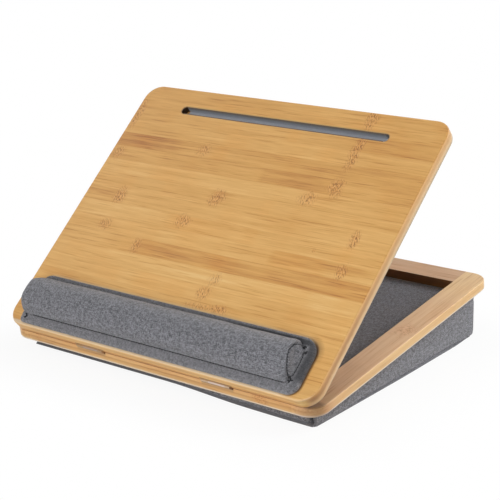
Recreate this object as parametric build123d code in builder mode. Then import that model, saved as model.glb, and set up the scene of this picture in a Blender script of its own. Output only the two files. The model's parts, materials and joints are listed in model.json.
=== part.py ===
from build123d import *
import math
import os

os.makedirs("parts", exist_ok=True)

# ---------------------------------------------------------------------------
# Driving sizes, in millimetres and degrees.
# Lid and tray pieces are drawn flat in their own planes. Both planes have the
# hinge axis as their origin, X along the axis, Y towards the rear and Z up
# out of the piece.
# ---------------------------------------------------------------------------

# Outline that the lid and the tray frame share
desk_width = 450.0
desk_depth = 373.0
corner_radius = 22.0
lid_thickness = 14.0
rail_thickness = 12.0
rail_width = 33.0
outer_edge_round = 2.5
meeting_edge_round = 1.2
closed_gap = 0.6

# Stance in the stored pose
tray_tilt = 8.0
lid_opening = 33.5
axis_height = 27.0

# Hinges
hinge_centre = 93.5
hinge_length = 44.0
hinge_inset = 0.6
leaf_width = 14.0
leaf_thickness = 1.0
leaf_gap = 0.3
barrel_radius = 2.0
middle_knuckle = 22.8
knuckle_gap = 0.2
pin_radius = 0.8
bearing_clearance = 0.05
knuckle_clearance = 0.35
mortise_clearance = 0.25
barrel_clearance = 0.4
leaf_screw_spacing = 26.0
leaf_screw_place = 9.0

# Frame joints and floor
dowel_radius = 3.0
dowel_length = 30.0
dowel_spacing = 16.0
board_thickness = 3.2
board_corner = 12.0
board_margin = 1.5
lining_thickness = 0.8
lining_clearance = 0.3

# Cushion, set in from the edges of the desk
cushion_side_inset = 17.0
cushion_front_inset = 19.0
cushion_rear_inset = 10.5
cushion_corner = 14.0
cushion_bottom_round = 4.0
cover_thickness = 1.2
soft_clearance = 0.3

# Groove for a phone or tablet
groove_length = 308.0
groove_width = 11.5
groove_depth = 10.0
groove_from_rear = 33.5
liner_wall = 1.2
liner_floor = 1.5
liner_below_top = 0.6
liner_end_gap = 0.5

# Wrist pad
pad_length = 405.0
pad_depth = 66.5
pad_corner = 13.0
pad_thickness = 4.5
pad_setback = 4.5
roll_length = 392.0
roll_depth = 52.0
roll_height = 24.0
roll_setback = 10.5
roll_end_round = 11.0

# Folding prop
prop_end_clearance = 4.2
pivot_drop = 3.0
folded_drop = 4.0
wire_radius = 2.5
prop_half_width = 80.0
pivot_bend = 6.0
foot_bend = 12.0
block_width = 10.0
block_length = 30.0
block_flange = 1.6
block_wall = 1.4
block_offset = 12.0
wire_end = 20.0
block_screw_spacing = 20.0

# Racks that the foot of the prop drops into
rack_offset = 50.0
rack_width = 10.0
rack_step_angle = 7.75
rack_steps_each_way = 2
rack_end = 12.0
rack_screw_place = 6.0
notch_radius = 3.0
notch_depth = 2.2
foot_clearance = 0.35

# Bumper dots
bumper_radius = 4.0
bumper_height = 0.4
bumper_seat = 1.5
bumper_inset = 16.0
bumper_clearance = 0.05

# Fasteners
small_screw_radius = 1.25
small_head_radius = 2.2
board_screw_radius = 1.5
board_head_radius = 2.8
hole_clearance = 0.05
leaf_screw_length = 9.0
block_screw_length = 10.0
rack_screw_length = 7.0
board_screw_length = 12.0
cross_slot = 0.6
cross_share = 1.2
screws_along_side = 3
screws_along_end = 3

# ---------------------------------------------------------------------------
# Sizes that follow from the driving ones
# ---------------------------------------------------------------------------

half_gap = closed_gap / 2
lid_angle = tray_tilt + lid_opening
outline_centre = desk_depth / 2 - hinge_inset

rail_top = -half_gap
rail_bottom = rail_top - rail_thickness
board_bottom = rail_bottom - board_thickness
lining_top = rail_bottom + lining_thickness
opening_width = desk_width - 2 * rail_width
opening_depth = desk_depth - 2 * rail_width

lid_bottom = half_gap
lid_top = lid_bottom + lid_thickness
pad_top = lid_top + pad_thickness
pad_centre = pad_setback + pad_depth / 2 - hinge_inset
roll_centre = pad_setback + roll_setback + roll_depth / 2 - hinge_inset
groove_centre = desk_depth - groove_from_rear - hinge_inset

# Folded, the prop lies flat between the lid and the tray and ends short of the
# rear rail. The leg is longer than the reach by what keeps its foot lowest in
# the stored pose.
rear_wall = desk_depth - rail_width - hinge_inset
leg_excess = folded_drop * math.tan(math.radians(lid_opening))
prop_reach = (rear_wall - prop_end_clearance - wire_radius - leg_excess) / 2
leg_along = prop_reach + leg_excess
leg_length = math.hypot(leg_along, folded_drop - pivot_drop)
leg_fold = math.degrees(math.atan2(folded_drop - pivot_drop, leg_along))


def level(along, above, angle):
    """Y of a point that lies along and above a plane tilted by the angle."""
    turn = math.radians(angle)
    return along * math.cos(turn) - above * math.sin(turn)


# The origin is under the middle of the whole: the pad's front edge reaches
# furthest forward, and the lower edge of the rear rail furthest back.
foremost = level(pad_setback - hinge_inset, pad_top, lid_angle)
rear_round_along = desk_depth - hinge_inset - outer_edge_round
rear_round_above = rail_bottom + outer_edge_round
rearmost = level(rear_round_along, rear_round_above, tray_tilt) + outer_edge_round
axis_y = -(foremost + rearmost) / 2

hinge_axis = Plane(origin=(0, axis_y, axis_height))
tray_plane = hinge_axis.rotated((tray_tilt, 0, 0))
lid_plane = hinge_axis.rotated((lid_angle, 0, 0))
tray_up = Axis(tray_plane.origin, tray_plane.z_dir)
lid_up = Axis(lid_plane.origin, lid_plane.z_dir)

along_x = (0, 90, 0)
upside_down = (180, 0, 0)
stand = (Align.CENTER, Align.CENTER, Align.MIN)


def foot_place(opening):
    """Where the foot bar lies along and above the tray, for a lid opening."""
    lid_turn = math.radians(opening)
    leg_turn = math.radians(opening + leg_fold)
    pivot_along = prop_reach * math.cos(lid_turn) + pivot_drop * math.sin(lid_turn)
    pivot_above = prop_reach * math.sin(lid_turn) - pivot_drop * math.cos(lid_turn)
    foot_along = pivot_along + leg_length * math.cos(leg_turn)
    foot_above = pivot_above - leg_length * math.sin(leg_turn)
    return foot_along, foot_above


rack_steps = range(-rack_steps_each_way, rack_steps_each_way + 1)
rack_openings = [lid_opening + rack_step_angle * n for n in rack_steps]
notch_places = sorted(foot_place(opening)[0] for opening in rack_openings)
rack_top = foot_place(lid_opening)[1] - wire_radius - foot_clearance
rack_height = rack_top - lining_top
rack_front = notch_places[0] - rack_end
rack_rear = notch_places[-1] + rack_end

# ---------------------------------------------------------------------------
# Fastener places, shared by the screws and by their holes
# ---------------------------------------------------------------------------

hinge_centres = {"left": -hinge_centre, "right": hinge_centre}
sides = {"left": -1, "right": 1}

leaf_screw_places = [
    (centre + offset, leaf_screw_place)
    for centre in hinge_centres.values()
    for offset in (-leaf_screw_spacing / 2, leaf_screw_spacing / 2)
]

block_centre = prop_half_width + block_offset
block_screw_places = [
    (side * block_centre, prop_reach + offset)
    for side in sides.values()
    for offset in (-block_screw_spacing / 2, block_screw_spacing / 2)
]

rack_screw_places = [
    (side * rack_offset, along)
    for side in sides.values()
    for along in (rack_front + rack_screw_place, rack_rear - rack_screw_place)
]

cushion_width = desk_width - 2 * cushion_side_inset
cushion_front = cushion_front_inset - hinge_inset
cushion_rear = desk_depth - cushion_rear_inset - hinge_inset
board_half_width = cushion_width / 2 + board_margin
turn = math.radians(tray_tilt)
board_front = (cushion_front - board_margin + board_bottom * math.sin(turn)) / math.cos(turn)
board_rear = (cushion_rear + board_margin + board_bottom * math.sin(turn)) / math.cos(turn)
board_centre = (board_front + board_rear) / 2
board_depth = board_rear - board_front

side_screw_x = (board_half_width + opening_width / 2) / 2
front_screw_y = (board_front + rail_width - hinge_inset) / 2
rear_screw_y = desk_depth - rail_width - hinge_inset + front_screw_y - board_front
board_screw_places = []
for n in range(screws_along_side):
    along = outline_centre + opening_depth * ((n + 0.5) / screws_along_side - 0.5)
    board_screw_places += [(side * side_screw_x, along) for side in sides.values()]
for n in range(screws_along_end):
    across = opening_width * ((n + 0.5) / screws_along_end - 0.5)
    board_screw_places += [(across, front_screw_y), (across, rear_screw_y)]

dowel_rows = (rail_width / 2 - hinge_inset, desk_depth - rail_width / 2 - hinge_inset)
dowel_places = [
    (side * opening_width / 2, row + offset)
    for side in sides.values()
    for row in dowel_rows
    for offset in (-dowel_spacing / 2, dowel_spacing / 2)
]
dowel_level = (rail_top + rail_bottom) / 2


def drill(places, start, depth, radius, spin=(0, 0, 0)):
    """Blind holes that run up from the start level, or down when spun over."""
    with Locations(*[Location((x, y, start), spin) for x, y in places]):
        Cylinder(radius, depth, align=stand, mode=Mode.SUBTRACT)


def screw_holes(places, start, depth, radius, head_radius, spin=(0, 0, 0)):
    """Countersunk through holes for screws driven up from the start level."""
    drill(places, start, depth, radius + hole_clearance, spin)
    head_height = head_radius - radius
    with Locations(*[Location((x, y, start), spin) for x, y in places]):
        Cone(
            head_radius + hole_clearance,
            radius + hole_clearance,
            head_height,
            align=stand,
            mode=Mode.SUBTRACT,
        )


def screws(places, start, length, radius, head_radius, spin=(0, 0, 0)):
    """Countersunk cross-head screws driven up from the start level."""
    head_height = head_radius - radius
    with Locations(*[Location((x, y, start), spin) for x, y in places]):
        Cylinder(radius, length, align=stand)
        Cone(head_radius, radius, head_height, align=stand)
        Box(head_radius * cross_share, cross_slot, cross_slot, align=stand, mode=Mode.SUBTRACT)
        Box(cross_slot, head_radius * cross_share, cross_slot, align=stand, mode=Mode.SUBTRACT)


def dowel_holes():
    """Holes across the four butt joints of the frame."""
    with Locations(*[(x, y, dowel_level) for x, y in dowel_places]):
        Cylinder(
            dowel_radius + hole_clearance,
            dowel_length + 2 * hole_clearance,
            rotation=along_x,
            mode=Mode.SUBTRACT,
        )


def hinge_recess(facing):
    """Mortises for the leaves and round recesses for the barrels."""
    pocket_length = hinge_length + 2 * mortise_clearance
    pocket_depth = leaf_width + mortise_clearance + hinge_inset
    pocket_height = leaf_gap / 2 + leaf_thickness
    for centre in hinge_centres.values():
        with Locations((centre, pocket_depth / 2 - hinge_inset, facing * pocket_height / 2)):
            Box(pocket_length, pocket_depth, pocket_height, mode=Mode.SUBTRACT)
        with Locations((centre, 0, 0)):
            Cylinder(
                barrel_radius + barrel_clearance,
                pocket_length,
                rotation=along_x,
                mode=Mode.SUBTRACT,
            )
    pilot_spin = (0, 0, 0) if facing > 0 else upside_down
    drill(
        leaf_screw_places,
        facing * leaf_gap / 2,
        leaf_screw_length + hole_clearance,
        small_screw_radius + hole_clearance,
        pilot_spin,
    )


# ---------------------------------------------------------------------------
# Tray frame
# ---------------------------------------------------------------------------


def side_rail(name, side):
    """A rail that runs the full depth, with the outline's rounded corners."""
    with BuildPart(tray_plane) as rail:
        with BuildSketch(tray_plane.offset(rail_bottom)):
            with Locations((0, outline_centre)):
                RectangleRounded(desk_width, desk_depth, corner_radius)
            with Locations((side * (desk_width - rail_width) / 2, outline_centre)):
                Rectangle(rail_width, desk_depth, mode=Mode.INTERSECT)
        extrude(amount=rail_thickness)
        top_rim = rail.faces().sort_by(tray_up)[-1].edges().sort_by(Axis.X, reverse=side < 0)[1:]
        bottom_rim = rail.faces().sort_by(tray_up)[0].edges().sort_by(Axis.X, reverse=side < 0)[1:]
        fillet(top_rim, meeting_edge_round)
        fillet(bottom_rim, outer_edge_round)
        dowel_holes()
        drill(
            board_screw_places,
            rail_bottom,
            board_screw_length - board_thickness + hole_clearance,
            board_screw_radius + hole_clearance,
        )
    rail.part.label = name
    export_step(rail.part, f"parts/{name}.step")


def cross_rail(name, end):
    """A rail between the side rails: end is 0 for the front, -1 for the rear."""
    rail_centre = dowel_rows[end]
    with BuildPart(tray_plane) as rail:
        with BuildSketch(tray_plane.offset(rail_bottom)):
            with Locations((0, rail_centre)):
                Rectangle(opening_width, rail_width)
        extrude(amount=rail_thickness)
        top_edge = rail.faces().sort_by(tray_up)[-1].edges().sort_by(Axis.Y)[end]
        bottom_edge = rail.faces().sort_by(tray_up)[0].edges().sort_by(Axis.Y)[end]
        fillet(top_edge, meeting_edge_round)
        fillet(bottom_edge, outer_edge_round)
        dowel_holes()
        drill(
            board_screw_places,
            rail_bottom,
            board_screw_length - board_thickness + hole_clearance,
            board_screw_radius + hole_clearance,
        )
        if end == 0:
            hinge_recess(-1)
    rail.part.label = name
    export_step(rail.part, f"parts/{name}.step")


for side_name, side_sign in sides.items():
    side_rail(f"{side_name}_rail", side_sign)
cross_rail("front_rail", 0)
cross_rail("rear_rail", -1)

with BuildPart(tray_plane) as rail_dowels:
    with Locations(*[(x, y, dowel_level) for x, y in dowel_places]):
        Cylinder(dowel_radius, dowel_length, rotation=along_x)
rail_dowels.part.label = "rail_dowels"
export_step(rail_dowels.part, "parts/rail_dowels.step")

# ---------------------------------------------------------------------------
# Tray floor
# ---------------------------------------------------------------------------

with BuildPart(tray_plane) as floor_board:
    with BuildSketch(tray_plane.offset(board_bottom)):
        with Locations((0, board_centre)):
            RectangleRounded(2 * board_half_width, board_depth, board_corner)
    extrude(amount=board_thickness)
    screw_holes(board_screw_places, board_bottom, board_thickness, board_screw_radius, board_head_radius)
    drill(rack_screw_places, board_bottom, board_thickness, small_screw_radius + hole_clearance)
floor_board.part.label = "floor_board"
export_step(floor_board.part, "parts/floor_board.step")

with BuildPart(tray_plane) as board_screws:
    screws(board_screw_places, board_bottom, board_screw_length, board_screw_radius, board_head_radius)
board_screws.part.label = "board_screws"
export_step(board_screws.part, "parts/board_screws.step")

with BuildPart(tray_plane) as floor_lining:
    with BuildSketch(tray_plane.offset(rail_bottom)):
        with Locations((0, outline_centre)):
            Rectangle(opening_width - 2 * lining_clearance, opening_depth - 2 * lining_clearance)
    extrude(amount=lining_thickness)
    drill(rack_screw_places, rail_bottom, lining_thickness, small_screw_radius + hole_clearance)
floor_lining.part.label = "floor_lining"
export_step(floor_lining.part, "parts/floor_lining.step")

# ---------------------------------------------------------------------------
# Wedge cushion: flat on the surface below, and sloped up to the floor board
# ---------------------------------------------------------------------------


def under_board(y):
    """Height of the floor board's underside at a distance behind the hinge axis."""
    return axis_height + y * math.tan(turn) + board_bottom / math.cos(turn)


def cushion_wedge(inset):
    """The cushion's form, drawn in by the inset on every side but the top."""
    front = cushion_front + inset
    rear = cushion_rear - inset
    with BuildPart() as wedge:
        with BuildSketch(Plane.YZ):
            with BuildLine():
                Polyline(
                    (axis_y + front, inset),
                    (axis_y + rear, inset),
                    (axis_y + rear, under_board(rear)),
                    (axis_y + front, under_board(front)),
                    close=True,
                )
            make_face()
        extrude(amount=cushion_width / 2 - inset, both=True)
        fillet(wedge.edges().filter_by(Axis.Z), cushion_corner - inset)
        fillet(wedge.faces().sort_by(Axis.Z)[0].edges(), cushion_bottom_round - inset)
    return wedge.part


with BuildPart() as cushion_cover:
    add(cushion_wedge(0))
    add(cushion_wedge(cover_thickness), mode=Mode.SUBTRACT)
cushion_cover.part.label = "cushion_cover"
export_step(cushion_cover.part, "parts/cushion_cover.step")

with BuildPart() as cushion_core:
    add(cushion_wedge(cover_thickness + soft_clearance))
cushion_core.part.label = "cushion_core"
export_step(cushion_core.part, "parts/cushion_core.step")

# ---------------------------------------------------------------------------
# Lid
# ---------------------------------------------------------------------------

bumper_places = [
    (side * (desk_width / 2 - bumper_inset), desk_depth - hinge_inset - bumper_inset)
    for side in sides.values()
]

with BuildPart(lid_plane) as lid_panel:
    with BuildSketch(lid_plane.offset(lid_bottom)):
        with Locations((0, outline_centre)):
            RectangleRounded(desk_width, desk_depth, corner_radius)
    extrude(amount=lid_thickness)
    fillet(lid_panel.faces().sort_by(lid_up)[-1].edges(), outer_edge_round)
    fillet(lid_panel.faces().sort_by(lid_up)[0].edges(), meeting_edge_round)
    with BuildSketch(lid_plane.offset(lid_top)):
        with Locations((0, groove_centre)):
            SlotOverall(groove_length, groove_width)
    extrude(amount=-groove_depth, mode=Mode.SUBTRACT)
    hinge_recess(1)
    drill(
        block_screw_places,
        lid_bottom,
        block_screw_length - block_flange + hole_clearance,
        small_screw_radius + hole_clearance,
    )
    drill(bumper_places, lid_bottom, bumper_seat, bumper_radius + bumper_clearance)
lid_panel.part.label = "lid_panel"
export_step(lid_panel.part, "parts/lid_panel.step")

liner_length = groove_length - groove_width - 2 * liner_end_gap
liner_height = groove_depth - liner_below_top
with BuildPart(lid_plane) as groove_liner:
    with Locations((0, groove_centre, lid_top - groove_depth)):
        Box(liner_length, groove_width, liner_height, align=stand)
    with Locations((0, groove_centre, lid_top - groove_depth + liner_floor)):
        Box(liner_length, groove_width - 2 * liner_wall, liner_height, align=stand, mode=Mode.SUBTRACT)
groove_liner.part.label = "groove_liner"
export_step(groove_liner.part, "parts/groove_liner.step")

with BuildPart(lid_plane) as bumper_dots:
    with Locations(*[(x, y, lid_bottom - bumper_height) for x, y in bumper_places]):
        Cylinder(bumper_radius, bumper_height + bumper_seat, align=stand)
bumper_dots.part.label = "bumper_dots"
export_step(bumper_dots.part, "parts/bumper_dots.step")

# ---------------------------------------------------------------------------
# Hinges
# ---------------------------------------------------------------------------

root = barrel_radius + knuckle_clearance
outer_start = middle_knuckle / 2 + knuckle_gap
middle_spans = [(-middle_knuckle / 2, middle_knuckle / 2)]
outer_spans = [(-hinge_length / 2, -outer_start), (outer_start, hinge_length / 2)]


def hinge_leaf(name, plane, facing, centre, spans):
    """A screwed plate with the knuckles that it carries round the pin."""
    plate_level = facing * (leaf_gap + leaf_thickness) / 2
    with BuildPart(plane) as leaf:
        with Locations((centre, (root + leaf_width) / 2, plate_level)):
            Box(hinge_length, leaf_width - root, leaf_thickness)
        for start, end in spans:
            with Locations((centre + (start + end) / 2, root / 2, plate_level)):
                Box(end - start, root, leaf_thickness)
            with Locations((centre + (start + end) / 2, 0, 0)):
                Cylinder(barrel_radius, end - start, rotation=along_x)
        with Locations((centre, 0, 0)):
            Cylinder(pin_radius + bearing_clearance, hinge_length, rotation=along_x, mode=Mode.SUBTRACT)
        screw_holes(
            [place for place in leaf_screw_places if place[0] * centre > 0],
            facing * leaf_gap / 2,
            leaf_thickness,
            small_screw_radius,
            small_head_radius,
            (0, 0, 0) if facing > 0 else upside_down,
        )
    leaf.part.label = name
    export_step(leaf.part, f"parts/{name}.step")


def hinge_pin(name, centre):
    with BuildPart(tray_plane) as pin:
        with Locations((centre, 0, 0)):
            Cylinder(pin_radius, hinge_length, rotation=along_x)
    pin.part.label = name
    export_step(pin.part, f"parts/{name}.step")


for side_name, centre in hinge_centres.items():
    hinge_leaf(f"{side_name}_hinge_tray_leaf", tray_plane, -1, centre, middle_spans)
    hinge_leaf(f"{side_name}_hinge_lid_leaf", lid_plane, 1, centre, outer_spans)
    hinge_pin(f"{side_name}_hinge_pin", centre)

with BuildPart(tray_plane) as hinge_tray_screws:
    screws(
        leaf_screw_places,
        -leaf_gap / 2,
        leaf_screw_length,
        small_screw_radius,
        small_head_radius,
        upside_down,
    )
hinge_tray_screws.part.label = "hinge_tray_screws"
export_step(hinge_tray_screws.part, "parts/hinge_tray_screws.step")

with BuildPart(lid_plane) as hinge_lid_screws:
    screws(leaf_screw_places, leaf_gap / 2, leaf_screw_length, small_screw_radius, small_head_radius)
hinge_lid_screws.part.label = "hinge_lid_screws"
export_step(hinge_lid_screws.part, "parts/hinge_lid_screws.step")

# ---------------------------------------------------------------------------
# Folding prop: a wire frame on two bearing blocks, and the racks for its foot
# ---------------------------------------------------------------------------

block_radius = wire_radius + bearing_clearance + block_wall
flange_level = lid_bottom - block_flange


def prop_block(name, side):
    """A bearing block under the lid, with a flange for two screws."""
    with BuildPart(lid_plane) as block:
        with Locations((side * block_centre, prop_reach, flange_level)):
            Box(block_width, block_length, block_flange, align=stand)
        with Locations((side * block_centre, prop_reach, -pivot_drop)):
            Cylinder(block_radius, block_width, rotation=along_x)
            Box(block_width, 2 * block_radius, pivot_drop + lid_bottom, align=stand)
        with Locations((side * block_centre, prop_reach, lid_bottom)):
            Box(block_width, block_length, block_length, align=stand, mode=Mode.SUBTRACT)
        with Locations((side * block_centre, prop_reach, -pivot_drop)):
            Cylinder(
                wire_radius + bearing_clearance,
                block_width,
                rotation=along_x,
                mode=Mode.SUBTRACT,
            )
        screw_holes(
            [place for place in block_screw_places if place[0] * side > 0],
            flange_level,
            block_flange,
            small_screw_radius,
            small_head_radius,
        )
    block.part.label = name
    export_step(block.part, f"parts/{name}.step")


def prop_rack(name, side):
    """A low strip on the tray floor, with a notch for each lid opening."""
    with BuildPart(tray_plane) as rack:
        with Locations((side * rack_offset, (rack_front + rack_rear) / 2, lining_top)):
            Box(rack_width, rack_rear - rack_front, rack_height, align=stand)
        notch_level = rack_top - notch_depth + notch_radius
        with Locations(*[(side * rack_offset, y, notch_level) for y in notch_places]):
            Cylinder(notch_radius, rack_width, rotation=along_x, mode=Mode.SUBTRACT)
        screw_holes(
            [place for place in rack_screw_places if place[0] * side > 0],
            rack_top,
            rack_height,
            small_screw_radius,
            small_head_radius,
            upside_down,
        )
    rack.part.label = name
    export_step(rack.part, f"parts/{name}.step")


for side_name, side_sign in sides.items():
    prop_block(f"{side_name}_prop_block", side_sign)
    prop_rack(f"{side_name}_rack", side_sign)

with BuildPart(lid_plane) as prop_block_screws:
    screws(block_screw_places, flange_level, block_screw_length, small_screw_radius, small_head_radius)
prop_block_screws.part.label = "prop_block_screws"
export_step(prop_block_screws.part, "parts/prop_block_screws.step")

with BuildPart(tray_plane) as rack_screws:
    screws(
        rack_screw_places,
        rack_top,
        rack_screw_length,
        small_screw_radius,
        small_head_radius,
        upside_down,
    )
rack_screws.part.label = "rack_screws"
export_step(rack_screws.part, "parts/rack_screws.step")

prop_pivot = lid_plane.from_local_coords((0, prop_reach, -pivot_drop))
prop_angle = tray_tilt - (lid_opening + leg_fold)
prop_plane = Plane(origin=prop_pivot).rotated((prop_angle, 0, 0))

with BuildPart() as prop_wire:
    with BuildLine(prop_plane) as wire_path:
        FilletPolyline(
            (-prop_half_width - wire_end, 0),
            (-prop_half_width, 0),
            (-prop_half_width, leg_length),
            (prop_half_width, leg_length),
            (prop_half_width, 0),
            (prop_half_width + wire_end, 0),
            radius=[pivot_bend, foot_bend, foot_bend, pivot_bend],
        )
    with BuildSketch(Plane(origin=wire_path.line @ 0, z_dir=wire_path.line % 0)):
        Circle(wire_radius)
    sweep()
prop_wire.part.label = "prop_wire"
export_step(prop_wire.part, "parts/prop_wire.step")

# ---------------------------------------------------------------------------
# Wrist pad
# ---------------------------------------------------------------------------

with BuildPart() as wrist_pad_base:
    with BuildSketch(lid_plane.offset(lid_top)):
        with Locations((0, pad_centre)):
            RectangleRounded(pad_length, pad_depth, pad_corner)
    extrude(amount=pad_thickness)
wrist_pad_base.part.label = "wrist_pad_base"
export_step(wrist_pad_base.part, "parts/wrist_pad_base.step")

roll_plane = Plane(
    origin=lid_plane.from_local_coords((0, roll_centre, pad_top)),
    x_dir=lid_plane.y_dir,
    z_dir=(1, 0, 0),
)


def wrist_roll(inset):
    """The half-round roll, drawn in by the inset on every side but the base."""
    with BuildPart() as roll:
        with BuildSketch(roll_plane):
            Ellipse(roll_depth / 2 - inset, roll_height - inset)
            Rectangle(roll_depth, roll_height, align=(Align.CENTER, Align.MIN), mode=Mode.INTERSECT)
        extrude(amount=roll_length / 2 - inset, both=True)
        fillet(roll.edges().filter_by(GeomType.ELLIPSE), roll_end_round - inset)
    return roll.part


with BuildPart() as wrist_roll_cover:
    add(wrist_roll(0))
    add(wrist_roll(cover_thickness), mode=Mode.SUBTRACT)
wrist_roll_cover.part.label = "wrist_roll_cover"
export_step(wrist_roll_cover.part, "parts/wrist_roll_cover.step")

with BuildPart() as wrist_roll_core:
    add(wrist_roll(cover_thickness + soft_clearance))
wrist_roll_core.part.label = "wrist_roll_core"
export_step(wrist_roll_core.part, "parts/wrist_roll_core.step")
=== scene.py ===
"""Looks of the lap desk with lift lid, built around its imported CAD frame.

Lengths are in millimetres, apart from matrices, lamps, camera and floor, which
are in metres. The lid and the tray each have a plane of their own: its origin
is the hinge axis, x runs along the axis, y towards the rear and z up out of
the piece. Forms on the lid or in the tray are drawn in that plane.
"""

import json
import math
from functools import reduce

import bmesh
import bpy
import numpy as np
from mathutils import Matrix, Vector
from mathutils.bvhtree import BVHTree


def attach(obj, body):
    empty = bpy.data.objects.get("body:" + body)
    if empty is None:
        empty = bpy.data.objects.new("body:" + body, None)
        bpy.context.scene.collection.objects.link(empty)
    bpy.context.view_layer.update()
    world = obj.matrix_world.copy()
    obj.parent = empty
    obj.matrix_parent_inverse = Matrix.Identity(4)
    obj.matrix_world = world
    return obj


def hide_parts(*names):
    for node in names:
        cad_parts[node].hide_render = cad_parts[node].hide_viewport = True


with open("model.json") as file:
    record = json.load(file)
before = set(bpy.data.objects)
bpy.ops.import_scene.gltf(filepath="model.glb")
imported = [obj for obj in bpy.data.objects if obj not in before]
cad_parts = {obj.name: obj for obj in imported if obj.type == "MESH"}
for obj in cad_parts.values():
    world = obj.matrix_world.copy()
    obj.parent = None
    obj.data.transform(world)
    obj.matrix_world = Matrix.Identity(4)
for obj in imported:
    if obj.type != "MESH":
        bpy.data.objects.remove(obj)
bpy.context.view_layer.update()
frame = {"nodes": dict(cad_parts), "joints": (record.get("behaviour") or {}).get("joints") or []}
scene = bpy.context.scene
MM = 0.001

# ---- Places and sizes, as in the part ----

TRAY_TILT = 8.0
LID_TILT = 41.5
DESK_WIDTH = 450
DESK_DEPTH = 373
CORNER = 22
INSET = 0.6
RAIL_TOP = -0.3
RAIL_BOTTOM = -12.3
BOARD_BOTTOM = -15.5
LINING_TOP = -11.5
LID_TOP = 14.3
PAD_TOP = 18.8
HINGE_CENTRE = 93.5
HINGE_REACH = 22.5
GROOVE_Y = DESK_DEPTH - 33.5 - INSET
PAD_LENGTH = 405
PAD_DEPTH = 66.5
PAD_MID_Y = 4.5 + PAD_DEPTH / 2 - INSET
PAD_CORNER = 13
PAD_REAR_RIGHT = 20

hinge = next(j for j in frame["joints"] if j["name"] == "lid_hinge")
AXIS = Vector(hinge["pos_m"])
AXIS_Y, AXIS_Z = (AXIS / MM).yz
WORLD = Matrix.Identity(4)
TRAY = Matrix.Translation(AXIS) @ Matrix.Rotation(math.radians(TRAY_TILT), 4, "X")
LID = Matrix.Translation(AXIS) @ Matrix.Rotation(math.radians(LID_TILT), 4, "X")

# ---- Materials ----


def operation(name):
    """A method that puts a Value, and perhaps another one, through a math node."""

    def method(self, *other):
        return self.nodes.math(name, self, *other)

    return method


class Value:
    """A number, direction or colour in a node tree; working with it adds nodes."""

    __add__ = operation("ADD")
    __sub__ = operation("SUBTRACT")
    __mul__ = operation("MULTIPLY")
    __truediv__ = operation("DIVIDE")
    __gt__ = operation("GREATER_THAN")
    __lt__ = operation("LESS_THAN")
    __abs__ = operation("ABSOLUTE")
    at_least = operation("MAXIMUM")
    floor = operation("FLOOR")
    fraction = operation("FRACT")
    sine = operation("SINE")
    sign = operation("SIGN")

    def __init__(self, nodes, socket):
        self.nodes = nodes
        self.socket = socket

    def span(self, low, high, to_low=0.0, to_high=1.0, smooth=False):
        """The share of the way from low to high, held between 0 and 1, as a value."""
        kind = "SMOOTHSTEP" if smooth else "LINEAR"
        return self.nodes.add("MapRange", self, low, high, to_low, to_high, interpolation_type=kind)

    def ease(self, low, high, to_high=1.0):
        """A span that starts at 0, and starts and ends softly."""
        return self.span(low, high, 0.0, to_high, smooth=True)

    def between(self, low, high, soft=0.3):
        """1 where the value lies in a range, fading out past its ends."""
        return self.span(low - soft, low + soft) * self.span(high + soft, high - soft)

    def ramp(self, stops, steps=False):
        """The colour at this place on a ramp of two or more (place, colour) stops."""
        node = self.nodes.tree.nodes.new("ShaderNodeValToRGB")
        node.color_ramp.interpolation = "CONSTANT" if steps else "LINEAR"
        points = node.color_ramp.elements
        while len(points) < len(stops):
            points.new(1.0)
        for point, (place, colour) in zip(points, stops):
            point.position = place
            point.color = (*colour, 1.0)
        self.nodes.put(node.inputs[0], self)
        return Value(self.nodes, node.outputs[0])

    def mixed(self, share, other):
        """This colour, with a share of another."""
        return self.nodes.mix(share, self, other)

    def tinted(self, share, tint):
        """This colour, with a share of it times a tint."""
        return self.mixed(share, self.nodes.mix(1.0, self, tint, "MULTIPLY"))


class Nodes:
    """A node tree. A Value is linked to a socket, and any other value is set on it."""

    def __init__(self, tree):
        self.tree = tree

    def put(self, socket, value):
        if isinstance(value, Value):
            self.tree.links.new(value.socket, socket)
        elif value is not None:
            socket.default_value = (*value, 1.0) if socket.type == "RGBA" else value

    def add(self, kind, *values, out=0, **settings):
        node = self.tree.nodes.new("ShaderNode" + kind)
        for key, value in settings.items():
            setattr(node, key, value)
        for socket, value in zip(node.inputs, values):
            self.put(socket, value)
        return Value(self, node.outputs[out])

    def math(self, operation, *values):
        return self.add("Math", *values, operation=operation)

    def vector(self, operation, *values):
        return self.add("VectorMath", *values, operation=operation)

    def length(self, vector):
        return self.add("VectorMath", vector, operation="LENGTH", out=1)

    def noise(self, vector, scale=1.0, detail=2.0, rough=0.5, out=0):
        return self.add("TexNoise", vector, None, scale, detail, rough, out=out)

    def chance(self, vector):
        return self.add("TexWhiteNoise", vector, noise_dimensions="3D")

    def join(self, x, y, z=0.0):
        return self.add("CombineXYZ", x, y, z)

    def split(self, vector):
        node = self.tree.nodes.new("ShaderNodeSeparateXYZ")
        self.put(node.inputs[0], vector)
        return [Value(self, part) for part in node.outputs]

    def mix(self, share, a, b, blend="MIX"):
        node = self.tree.nodes.new("ShaderNodeMix")
        node.data_type = "RGBA"
        node.blend_type = blend
        for place, value in ((0, share), (6, a), (7, b)):
            self.put(node.inputs[place], value)
        return Value(self, node.outputs[2])


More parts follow.
